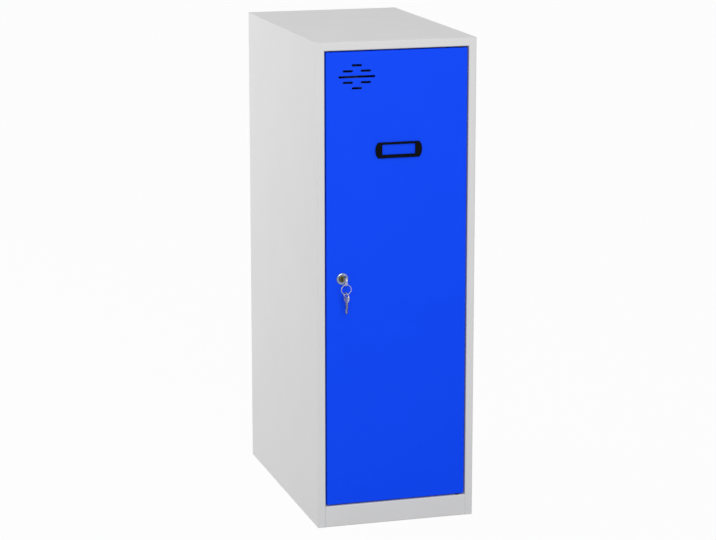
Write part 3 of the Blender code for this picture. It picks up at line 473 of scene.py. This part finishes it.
def plate(outlines, wall, edge, place, along, across, sunk=(), depth=0.0, steps=5):
    """A flat plate with soft edges: at angle q of an edge the outlines draw in by edge (1 - sin q), at a
    height of wall / 2 - edge (1 - cos q), mirrored below. Sunk places slope down by depth on both faces, and
    the flats are filled between all these lines. Its point (a, b) at height h goes to
    place + a along + b across + h along x across."""
    q = np.linspace(0, pi / 2, steps + 1)
    inset, height = edge * (1 - np.sin(q)), wall / 2 - edge * (1 - np.cos(q))
    brim = np.concatenate([inset, inset[::-1]]), np.concatenate([height, -height[::-1]])
    base = wall / 2 - depth
    dish = np.array([0, -depth, -depth, 0]), np.array([wall / 2, base, -base, -wall / 2])
    points, faces, rings, start = [], [], [], 0
    for number, line in enumerate([*outlines, *sunk]):
        # The outline goes anticlockwise and all others clockwise, so that the plate lies to their left.
        ahead = np.roll(line, -1, 0)
        if ((line[:, 0] * ahead[:, 1] - line[:, 1] * ahead[:, 0]).sum() > 0) != (number == 0):
            line = line[::-1]
            ahead = np.roll(line, -1, 0)
        left = np.stack([line[:, 1] - ahead[:, 1], ahead[:, 0] - line[:, 0]], 1)
        left /= np.linalg.norm(left, axis=1, keepdims=True)
        behind = np.roll(left, 1, 0)
        # A point draws in along the mitre of its two sides, which is held short at a very sharp corner.
        inward = (left + behind) / np.maximum(1 + (left * behind).sum(1, keepdims=True), 0.3)
        inset, height = brim if number < len(outlines) else dish
        drawn = line + inset[:, None, None] * inward
        rise = height[:, None, None] * np.cross(along, across)
        points.append((place + drawn[..., :1] * along + drawn[..., 1:] * across + rise).reshape(-1, 3))
        count = len(line)
        grid, first = squares(len(inset), count) + start, np.arange(count) + start
        if number >= len(outlines):
            grid = np.concatenate([grid[:count], grid[-count:]])
            bottom = filled(drawn[1]) + start
            faces += [bottom + count, bottom + 2 * count]
        faces.append(grid)
        rings.append((drawn[0], first, first + (len(inset) - 1) * count))
        start += len(points[-1])
    flat = filled(*(ring[0] for ring in rings))
    faces += [np.concatenate([ring[side] for ring in rings])[flat] for side in (1, 2)]
    return np.concatenate(points), *faces


# Black ABS: an even satin black from a spark eroded mould, whose grain is drawn at 0.9 mm so that it shows.
black_abs = moulded("black moulded ABS", ("#030305", "#08080B"), 0.5, 0.05, 0.0009, 0.12)
LABEL_DEPTH, LABEL_BOW, LABEL_END, LABEL_TOP, LABEL_BOTTOM = 0.004, 0.0045, 0.0125, 0.004, 0.0062
LABEL_EDGE, LABEL_CORNER, LABEL_SMOOTH, WINDOW_CORNER = 0.0011, 0.0022, 1e-5, 0.0012
TAB_HALF, TAB_REACH, TAB_ROOT, TAB_EDGE = (0.003, 0.0012), 0.0026, 0.0004, 0.0004
middle, half = middle_and_half("label_frame")
# Each end is an arc that stands out by the bow. Its points keep away from the corners, which are rounded.
radius = (half[2] ** 2 + LABEL_BOW ** 2) / (2 * LABEL_BOW)
swing = np.arcsin(half[2] / radius)
sweep = np.concatenate([[-swing], swing * np.linspace(-0.65, 0.65, 31), [swing]])
end = radius * round_points(sweep) + (half[0] - radius, 0)
outside = np.concatenate([end, -end])
corner_ease = np.full((len(outside), 1), LABEL_SMOOTH)
corner_ease[[0, len(end) - 1, len(end), -1]] = LABEL_CORNER
outside = eased(outside, corner_ease, 3)
side, top, bottom = half[0] - LABEL_END, half[2] - LABEL_TOP, LABEL_BOTTOM - half[2]
window = eased(np.where(square_corners > 0, (side, top), (-side, bottom)), WINDOW_CORNER)
face = middle + (LABEL_DEPTH / 2 - half[1]) * BACK
shells = [plate([outside, window], LABEL_DEPTH, LABEL_EDGE, face, RIGHT, UP)]
tab, tab_wall = eased(square_corners * TAB_HALF, TAB_EDGE), TAB_REACH + TAB_ROOT
for side in (-1, 1):
    place = middle + side * (half[0] - LABEL_END / 2) * RIGHT + (half[1] - tab_wall / 2) * BACK
    shells.append(plate([tab], tab_wall, TAB_EDGE, place, RIGHT, UP))
new_piece("card_frame", shells, black_abs, "door", ["label_frame"])


# Lock body: a zinc casting, chrome plated, with a domed rim and a threaded barrel with two flats.
# A washer and a hexagon nut clamp it to the door sheet from behind.
# Chrome: a mirror that picks up the door's blue, with handling marks 1.5 mm wide. Its two tones are darker
# and bluer than bright chrome, a painted reflection of dim, bluish surroundings.
chrome = plated("polished chrome plate", ("#7F8EAB", "#97A4BD"), (0.06, 0.16), 0.006, 0.0015)
joints = frame["record"]["behaviour"]["joints"]
pivot = {joint["name"]: np.array(joint["pos_m"]) for joint in joints if "pos_m" in joint}
lock = pivot["lock_turn"]
OUT = -BACK
SHEET, FIT, RUNNING = 0.0008, 0.0003, 0.0002
RIM, RIM_FACE, RIM_EDGE, RIM_PROUD, RIM_LIP = 0.011, 0.0084, 0.0012, 0.003, 0.0007
RIM_BREAK, BARREL_BREAK = (0.0004, 0.0003), (0.0008, 0.0005)
BARREL, BARREL_LENGTH, BARREL_FLAT = 0.009, 0.026, 0.0082
SHANK, THREAD_RUN_IN, THREAD_PITCH, THREAD_DEPTH = 0.0019, 0.0001, 0.0012, 0.0006
PLUG, PLUG_HEAD, PLUG_SEAT = 0.0052, 0.0059, 0.0003
mouth, bore = PLUG_HEAD + RUNNING, PLUG + RUNNING
# From the plug's seat over the lip and the dome, down the threaded barrel, and back up through the bore.
dome = np.linspace(0, pi / 2, 14)
lip = np.stack([mouth + RIM_LIP * (1 - np.cos(dome)), RIM_PROUD - RIM_LIP * (1 - np.sin(dome))], 1)
rim = (RIM_FACE, RIM_EDGE) + round_points(dome)[:, ::-1] * (RIM - RIM_FACE, RIM_PROUD - RIM_EDGE)
thread_end = BARREL_BREAK[1] + THREAD_RUN_IN - BARREL_LENGTH
radius, height = np.concatenate([
    [(mouth, PLUG_SEAT)], lip, rim,
    [(RIM, FIT + RIM_BREAK[1]), (RIM - RIM_BREAK[0], FIT), (BARREL, FIT), (BARREL, -SHANK)],
    np.linspace((BARREL, -SHANK - THREAD_RUN_IN), (BARREL, thread_end), 170),
    [(BARREL, BARREL_BREAK[1] - BARREL_LENGTH), (BARREL - BARREL_BREAK[0], -BARREL_LENGTH)],
    [(bore, -BARREL_LENGTH), (bore, PLUG_SEAT), (mouth, PLUG_SEAT)],
]).T
t = np.linspace(0, 2 * pi, 96, endpoint=False)
cut = (height < -SHANK) & (height > -BARREL_LENGTH) & (radius > bore)
thread = THREAD_DEPTH * (1 + np.cos(2 * pi * height[:, None] / THREAD_PITCH - t)) / 2
# A flat's radius is its distance over cos t, with cos t kept at 0.1 or more.
flats = BARREL_FLAT / np.maximum(np.abs(np.cos(t)), 0.1)
radius = np.where(cut[:, None], np.minimum(radius[:, None] - thread, flats), radius[:, None])
shell = turned(radius, height, lock, OUT, closed=True)
new_piece("lock_barrel", [shell], chrome, "door", ["lock_housing"])

WASHER, WASHER_WALL, WASHER_EDGE = 0.012, 0.001, 0.0002
hole, seat = BARREL + FIT, -SHEET - FIT
under = seat - WASHER_WALL
washer = eased([(hole, seat), (WASHER, seat), (WASHER, under), (hole, under)], WASHER_EDGE)
new_piece("washer", [turned(*washer.T, lock, OUT, closed=True)], zinc, "door", ["lock_washer"])

NUT, NUT_WALL, NUT_CORNER, NUT_EDGE, NUT_CONE = 0.0125, 0.004, 0.0006, 0.0003, 0.89
place = lock + (SHEET + WASHER_WALL + 2 * FIT + NUT_WALL / 2) * BACK
hexagon = eased(NUT * round_points(np.radians(np.arange(6) * 60 + 90)), NUT_CORNER)
points, *faces = plate([hexagon, circle(hole)], NUT_WALL, NUT_EDGE, place, RIGHT, UP)
# A cone of 30 degrees turns off the six corners on both sides, from 0.89 of their reach.
away = np.linalg.norm((points - place)[:, [0, 2]], axis=1)
limit = NUT_WALL / 2 - np.maximum(away - NUT * NUT_CONE, 0) * np.tan(pi / 6)
points[:, 1] = place[1] + np.clip(points[:, 1] - place[1], -limit, limit)
new_piece("hexagon_nut", [(points, *faces)], zinc, "door", ["lock_nut"])


# Lock plug: turned brass with a keyway, which turns in the barrel and carries the cam on its square tail.
# The cam is punched from 2 mm strip, and a pan head screw holds it.
TOOL_MARK, TARNISH = 0.0004, 0.0025
WAVE_LENGTH = 2 * pi / 20  # of a wave texture at scale 1
# Turned brass: rings from the tool 0.1 mm apart, drawn at 0.4 mm, the finest that shows, and tarnish in
# patches of 2.5 mm. Both tones are a dull dark olive, darker than bright brass: a painted dim reflection.
brass, tree, place = bare_material("turned brass")
centred = add(tree, "Mapping", {"Vector": place, "Location": tuple(-lock)}).outputs[0]
waves = {"Vector": centred, "Scale": WAVE_LENGTH / TOOL_MARK, "Distortion": 0.4}
rings = add(tree, "TexWave", waves, wave_type="RINGS", rings_direction="Y").outputs["Fac"]
tarnish = add(tree, "TexNoise", {"Vector": place, "Scale": 1 / TARNISH, "Detail": 3.0}).outputs[0]
# Both tones are darkened as a painted reflection of dim surroundings, and the noise mixes them in tarnish
# patches.
mixed = {FACTOR: tarnish, COLOUR_1: linear("#534C2B"), COLOUR_2: linear("#80754A")}
colour = add(tree, "Mix", mixed, data_type="RGBA").outputs[MIXED]
rough = add(tree, "MapRange", {"Value": rings, "To Min": 0.26, "To Max": 0.42}).outputs[0]
bump = add(tree, "Bump", {"Height": rings, "Strength": 0.15, "Distance": 0.00005}).outputs[0]
surface(tree, colour, rough, bump, {"Metallic": 1.0})

PLUG_PROUD, PLUG_HEAD_WALL, PLUG_HEAD_EDGE, PLUG_EDGE = 0.002, 0.0014, 0.0004, 0.0003
KEYWAY_HALF, KEYWAY_CORNER, KEYWAY_EDGE, KEYWAY_END = (0.0012, 0.0037), 0.0003, 0.0001, 0.009
TAIL, TAIL_CORNER, TAIL_EDGE, TAIL_ROOT, TAIL_END = 0.007, 0.0006, 0.0003, 0.001, 0.0280
keyway = eased(square_corners * KEYWAY_HALF, KEYWAY_CORNER)
tail = eased(square_corners * TAIL / 2, TAIL_CORNER)
neck = PLUG_PROUD - PLUG_HEAD_WALL
solid = [(0, -KEYWAY_END), (PLUG, -KEYWAY_END), (PLUG, -BARREL_LENGTH), (0, -BARREL_LENGTH)]
shells = [turned(*eased(solid, PLUG_EDGE, closed=False).T, lock, OUT)]
for outlines, edge, start, end in (
    ([circle(PLUG_HEAD), keyway], PLUG_HEAD_EDGE, -PLUG_PROUD, -neck),
    ([circle(PLUG), keyway], KEYWAY_EDGE, -neck, KEYWAY_END),
    ([tail], TAIL_EDGE, BARREL_LENGTH - TAIL_ROOT, TAIL_END),
):
    shells.append(plate(outlines, end - start, edge, lock + (start + end) / 2 * BACK, RIGHT, UP))
new_piece("brass_plug", shells, brass, "lock_core", ["lock_plug"])

HUB, TIP, CAM_REACH, CAM_WALL, CAM_CORNER, CAM_EDGE = 0.008, 0.006, 0.027, 0.002, 0.0004, 0.0003
middle, half = middle_and_half("lock_cam")
# Two arcs, round the hub and round the tip, end where a straight side touches both.
lean = np.arcsin((HUB - TIP) / (CAM_REACH - TIP))
hub = HUB * round_points(np.linspace(pi / 2 - lean, 3 * pi / 2 + lean, 65))
tip = TIP * round_points(np.linspace(lean - pi / 2, pi / 2 - lean, 49)) + (CAM_REACH - TIP, 0)
square = eased(square_corners * (TAIL / 2 + RUNNING), CAM_CORNER)
place = (lock[0], middle[1], lock[2])
shell = plate([np.concatenate([hub, tip]), square], CAM_WALL, CAM_EDGE, place, -UP, -RIGHT)
new_piece("cam", [shell], zinc, "lock_core", ["lock_cam"])

SCREW_HEAD, SCREW_TALL, SCREW_FACE, SCREW_EDGE, SCREW_FOOT = 0.004, 0.0022, 0.0024, 0.0009, 0.0003
RECESS_ARM, RECESS_REACH, RECESS_DEPTH, SCREW_STEPS = 0.00045, 0.0021, 0.0012, 192
brow = SCREW_HEAD - SCREW_FACE
r = np.concatenate([np.linspace(0, SCREW_FACE, 40), SCREW_FACE + brow * np.sin(dome[1:])])[:, None]
t = np.linspace(0, 2 * pi, SCREW_STEPS, endpoint=False)
bulge = np.clip((r - SCREW_FACE) / brow, 0, 1)
crown = SCREW_FOOT + SCREW_EDGE + (SCREW_TALL - SCREW_EDGE) * np.sqrt(1 - bulge ** 2)
# The cross recess is deep within half an arm's width of either middle line, runs out over one width more, and
# rises over the last third of its reach.
x, z = np.abs(r * np.cos(t)), np.abs(r * np.sin(t))
arm = np.clip(1.5 - np.minimum(x, z) / RECESS_ARM, 0, 1) * np.clip(3 * (1 - r / RECESS_REACH), 0, 1)
height = np.concatenate([crown - RECESS_DEPTH * arm, np.full((2, SCREW_STEPS), SCREW_FOOT)])
radius = np.concatenate([r, [[SCREW_HEAD], [0]]]) * np.ones(SCREW_STEPS)
shell = turned(radius, height, (lock[0], middle[1] + half[1], lock[2]), BACK, steps=SCREW_STEPS)
new_piece("pan_head_screw", [shell], zinc, "lock_core", ["cam_screw"])


# Key: stamped from 2 mm brass and nickel plated, with a slot for the ring, a plain sunk panel and a groove
# down each side of the blade. It stands in the plug with its shoulders just clear of the plug's face.
KEY_WALL, KEY_EDGE, KEY_SUNK, RUB_FADE, GROUND_AND_SHADE_FROM = 0.002, 0.0007, 0.0003, 0.003, 0.0018
BLADE, BLADE_HALF, BLADE_TIP, BITES, BITE = 0.011, 0.0035, 0.0025, 2, 0.0015
NECK, NECK_HALF, BOW, SLOT_HALF, SLOT_WIDE, SLOT_FROM_END = 0.010, 0.0045, 0.010, 0.0044, 0.0022, 0.0055
PANEL_AT, PANEL_HALF = (0.0165, 0), (0.0032, 0.0056)
GROOVE_AT, GROOVE_HALF, GROOVE_CORNER = (-0.0044, 0.0005), (0.0038, 0.0009), 0.0005
# Nickel: a satin shine with wear in patches of 3 mm and pocket scratches 0.5 mm wide. The lock has rubbed the
# flats of the neck and the blade to a mirror, which takes the door's blue. Along their edges the plate is
# ground
# through to brass, painted dark as well: painted shade that dims the bright line those edges would catch.
nickel = plated(
    "worn nickel plate", ("#C4C7CC", "#A6A29B"), (0.18, 0.32), 0.003, 0.0005,
    worn_and_shaded=(("rubbed", "#B4B9C2", 0.06), ("ground_and_shade", "#5E5532", 0.4)),
)


def mark_wear_and_shade(key, origin, along, across):
    """Marks a key's points: rubbed from the tip to the neck's end, fading out over 3 mm, and ground through
    and painted dark as shade there too, where a point is 1.8 mm or more off the middle line and below the
    rounded brink of the wall."""
    at = np.empty(len(key.data.vertices) * 3, np.float32)
    key.data.vertices.foreach_get("co", at)
    at = at.reshape(-1, 3) - origin
    rubbed = np.clip((NECK + RUB_FADE - at @ along) / RUB_FADE, 0, 1)
    height = np.abs(at @ np.cross(along, across))
    brink = np.clip((KEY_WALL / 2 - height) / KEY_EDGE * 3, 0, 1)
    # Worn through to dull brass on the edges, and painted dark there as shade over their highlight.
    ground_and_shade = rubbed * brink * (np.abs(at @ across) > GROUND_AND_SHADE_FROM)
    for name, share in (("rubbed", rubbed), ("ground_and_shade", ground_and_shade)):
        layer = key.data.attributes.new(name, "FLOAT", "POINT")
        layer.data.foreach_set("value", share.astype(np.float32))


# The bites are notches along the blade's lower edge, each second one twice as deep.
pitch = (BLADE - 2 * BLADE_TIP) / BITES
bite = np.arange(BITES)
middle = BLADE_TIP - BLADE + (bite + 0.5) * pitch
depth = BITE * (1 + bite % 2) / 2
notch = np.stack([middle - pitch / 3, middle, middle + pitch / 3], 1)
cuts = np.stack([notch, np.stack([0 * depth, depth, 0 * depth], 1) - BLADE_HALF], 2).reshape(-1, 2)
# The outline goes from the tip along the lower edge to the shoulder, round the bow and back along the upper.
join = np.arcsin(NECK_HALF / BOW)
bow = BOW * round_points(np.linspace(join - pi, pi - join, 97)) + (NECK + BOW, 0)
outside = np.concatenate([
    [(-BLADE, 0), (BLADE_TIP - BLADE, -BLADE_HALF)], cuts, [(0, -BLADE_HALF), (0, -NECK_HALF)], bow,
    [(0, NECK_HALF), (0, BLADE_HALF), (BLADE_TIP - BLADE, BLADE_HALF)],
])
slot_at = NECK + 2 * BOW - SLOT_FROM_END
slot_end = SLOT_WIDE * round_points(np.linspace(0, pi, 25)) + (0, SLOT_HALF)
slot = np.concatenate([slot_end, -slot_end]) + (slot_at, 0)
panel = circle(1.0, 64) * PANEL_HALF + PANEL_AT
groove = eased(square_corners * GROOVE_HALF + GROOVE_AT, GROOVE_CORNER)
shoulder = lock + (PLUG_PROUD + FIT) * OUT
shell = plate([outside, slot], KEY_WALL, KEY_EDGE, shoulder, OUT, UP, [panel, groove], KEY_SUNK)
mark_wear_and_shade(new_piece("key_in_plug", [shell], nickel, "key_in_lock", ["key"]), shoulder, OUT, UP)


# Split ring: two turns of hardened flat wire side by side, joined by a step and nickel plated.
# It goes through the slot of the key in the lock and hangs there.
RING_RADIUS, RING_WIRE, RING_TIP = 0.0091, 0.0008, 0.0003
STEP_HALF, STEP_AT, COIL_HALF, COIL_EDGE = 0.3, -0.7, (0.00037, 0.0005), 0.0002
# The turns lie half a wire to either side, and s, 0 to 1 over the step, eases across by 3 s^2 - 2 s^3.
turns = np.linspace(STEP_HALF, 4 * pi - STEP_HALF, 241)
stepped = np.clip((turns - 2 * pi + STEP_HALF) / (2 * STEP_HALF), 0, 1)
aside = RING_WIRE / 2 * (2 * stepped ** 2 * (3 - 2 * stepped) - 1)
round_x, round_z = RING_RADIUS * round_points(turns + STEP_AT).T
path = pivot["ring_swing"] - RING_RADIUS * UP + np.stack([round_x, aside, round_z], 1)
path, size = capped(path, RING_TIP)
flat_wire = eased(square_corners * COIL_HALF, COIL_EDGE, 3)
new_piece("split_ring", [swept(flat_wire, path, OUT, size)], nickel, "ring", ["key_ring"])


# Spare key: a second key from the same stamping, with the same plate, wear and painted edge shade.
# It hangs by its slot from the foot of the ring, blade down and turned a little.
SPARE_TURN = radians(14)
across = np.array([np.sin(SPARE_TURN), -np.cos(SPARE_TURN), 0])
drop = slot_at + SLOT_WIDE - RING_WIRE - FIT
outside, slot, panel, groove = (line - (drop, 0) for line in (outside, slot, panel, groove))
hung = pivot["spare_swing"]
shell = plate([outside, slot], KEY_WALL, KEY_EDGE, hung, UP, across, [panel, groove], KEY_SUNK)
spare = new_piece("key_on_ring", [shell], nickel, "spare", ["spare_key"])
mark_wear_and_shade(spare, hung - drop * UP, UP, across)
